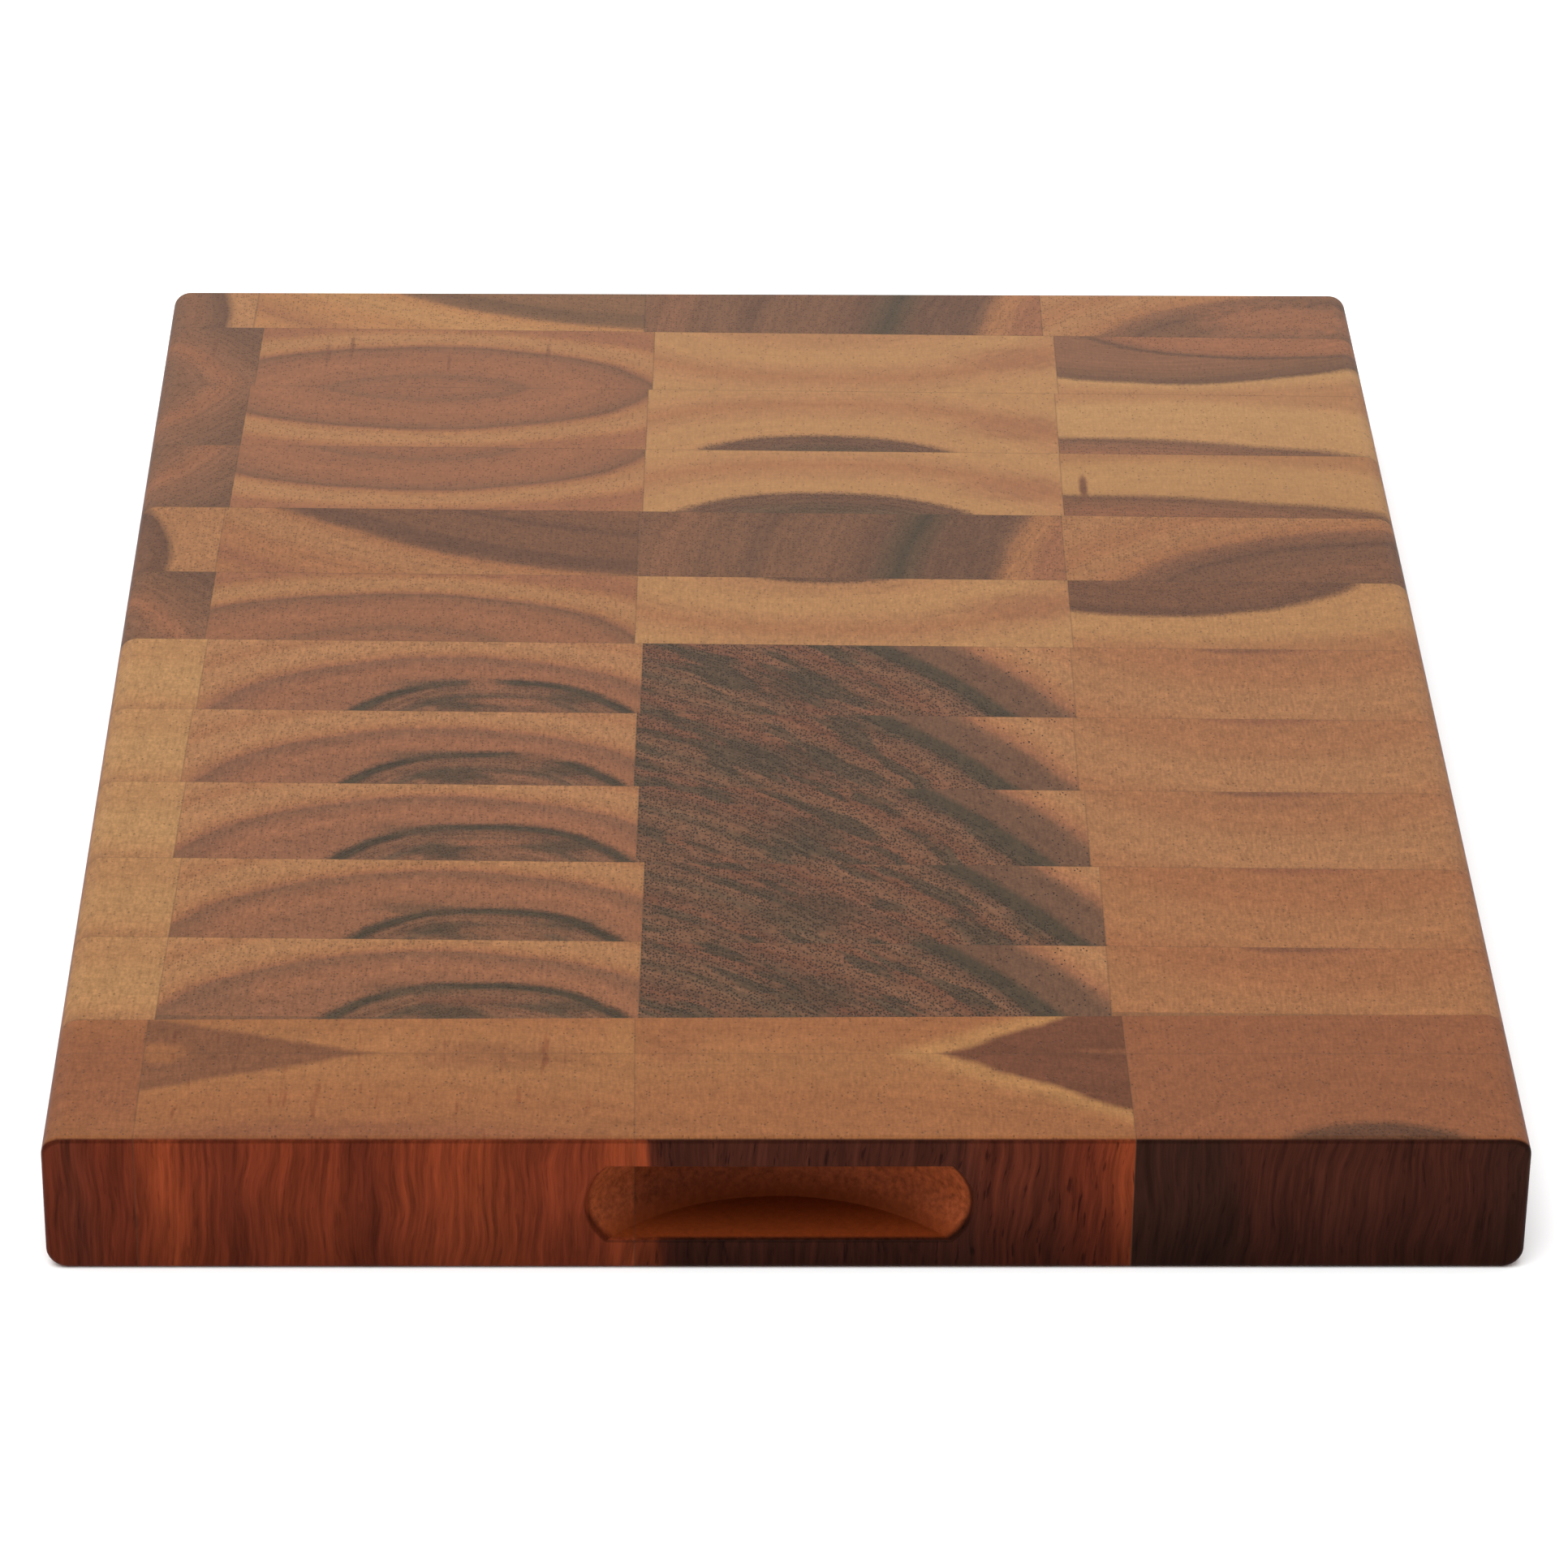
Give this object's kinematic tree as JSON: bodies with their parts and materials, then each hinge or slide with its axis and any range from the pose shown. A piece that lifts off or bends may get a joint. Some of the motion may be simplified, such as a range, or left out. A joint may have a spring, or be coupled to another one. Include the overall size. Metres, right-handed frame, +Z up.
{
  "type": "end-grain cutting board",
  "caption": "Rectangular end-grain butcher's board of glued wood blocks, eased edges, with a half-moon finger grip cut into each end.",
  "frame": {"origin": "on the underside, at the centre of the board", "axes": "+X across the board, +Y along the board towards its back end, +Z up through the thickness"},
  "size_m": [0.3048, 0.4064, 0.0318],
  "materials": {
    "sapwood": "Pale tan end grain of the outer wood, oiled to a satin finish",
    "mixed_wood": "Tan end grain with brown heart figure, oiled to a satin finish",
    "heartwood": "Dark brown end grain with olive and purple bands, oiled to a satin finish"
  },
  "bodies": {
    "root": {"row_01_block_a": "mixed_wood", "row_01_block_b": "mixed_wood", "row_01_block_c": "heartwood", "row_01_block_d": "mixed_wood", "row_02_block_a": "heartwood", "row_02_block_b": "mixed_wood", "row_02_block_c": "sapwood", "row_02_block_d": "mixed_wood", "row_03_block_a": "heartwood", "row_03_block_b": "mixed_wood", "row_03_block_c": "sapwood", "row_03_block_d": "mixed_wood", "row_04_block_a": "heartwood", "row_04_block_b": "mixed_wood", "row_04_block_c": "mixed_wood", "row_04_block_d": "mixed_wood", "row_05_block_a": "mixed_wood", "row_05_block_b": "mixed_wood", "row_05_block_c": "heartwood", "row_05_block_d": "mixed_wood", "row_06_block_a": "heartwood", "row_06_block_b": "mixed_wood", "row_06_block_c": "sapwood", "row_06_block_d": "mixed_wood", "row_07_block_a": "sapwood", "row_07_block_b": "mixed_wood", "row_07_block_c": "heartwood", "row_07_block_d": "sapwood", "row_08_block_a": "sapwood", "row_08_block_b": "mixed_wood", "row_08_block_c": "heartwood", "row_08_block_d": "sapwood", "row_09_block_a": "sapwood", "row_09_block_b": "mixed_wood", "row_09_block_c": "heartwood", "row_09_block_d": "sapwood", "row_10_block_a": "sapwood", "row_10_block_b": "mixed_wood", "row_10_block_c": "heartwood", "row_10_block_d": "sapwood", "row_11_block_a": "sapwood", "row_11_block_b": "mixed_wood", "row_11_block_c": "heartwood", "row_11_block_d": "sapwood", "row_12_block_a": "mixed_wood", "row_12_block_b": "mixed_wood", "row_12_block_c": "mixed_wood", "row_12_block_d": "mixed_wood", "row_13_block_a": "mixed_wood", "row_13_block_b": "mixed_wood", "row_13_block_c": "mixed_wood", "row_13_block_d": "mixed_wood"}
  },
  "joints": []
}
